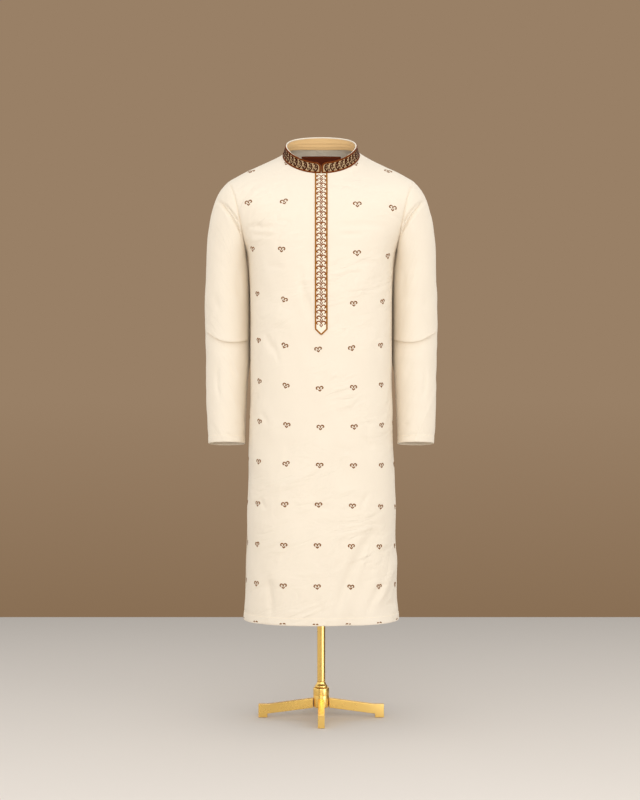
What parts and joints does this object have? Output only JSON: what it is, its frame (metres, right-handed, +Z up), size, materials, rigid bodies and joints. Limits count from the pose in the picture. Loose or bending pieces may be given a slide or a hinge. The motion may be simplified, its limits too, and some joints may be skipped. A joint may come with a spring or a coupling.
{
  "type": "panjabi on a display stand",
  "caption": "Long straight full-sleeve shirt with a stand collar and pointed placket, hollow, on a four-legged pole stand.",
  "frame": {"origin": "on the floor under the pole's axis, midway between the four feet", "axes": "+Z up; the front of the shirt faces -Y; +X is the wearer's left"},
  "size_m": [0.5228, 0.32, 1.3129],
  "materials": {
    "cream_cloth": "soft plain weave",
    "tan_cloth": "smooth facing cloth",
    "brown_trim": "corded piping",
    "label_cloth": "woven, bare",
    "gold_metal": "polished",
    "ivory_plastic": "satin"
  },
  "bodies": {
    "root": {"front_panel": "cream_cloth", "back_panel": "cream_cloth", "sleeve_left": "cream_cloth", "sleeve_right": "cream_cloth", "collar_outer_band": "cream_cloth", "collar_inner_band": "tan_cloth", "collar_piping": "brown_trim", "placket_strip": "cream_cloth", "placket_piping": "brown_trim", "neck_label": "label_cloth", "stand_pole": "gold_metal", "stand_ferrule": "gold_metal", "stand_hub": "gold_metal", "stand_leg_left": "gold_metal", "stand_leg_back": "gold_metal", "stand_leg_right": "gold_metal", "stand_leg_front": "gold_metal", "shoulder_rest": "ivory_plastic"}
  },
  "joints": []
}
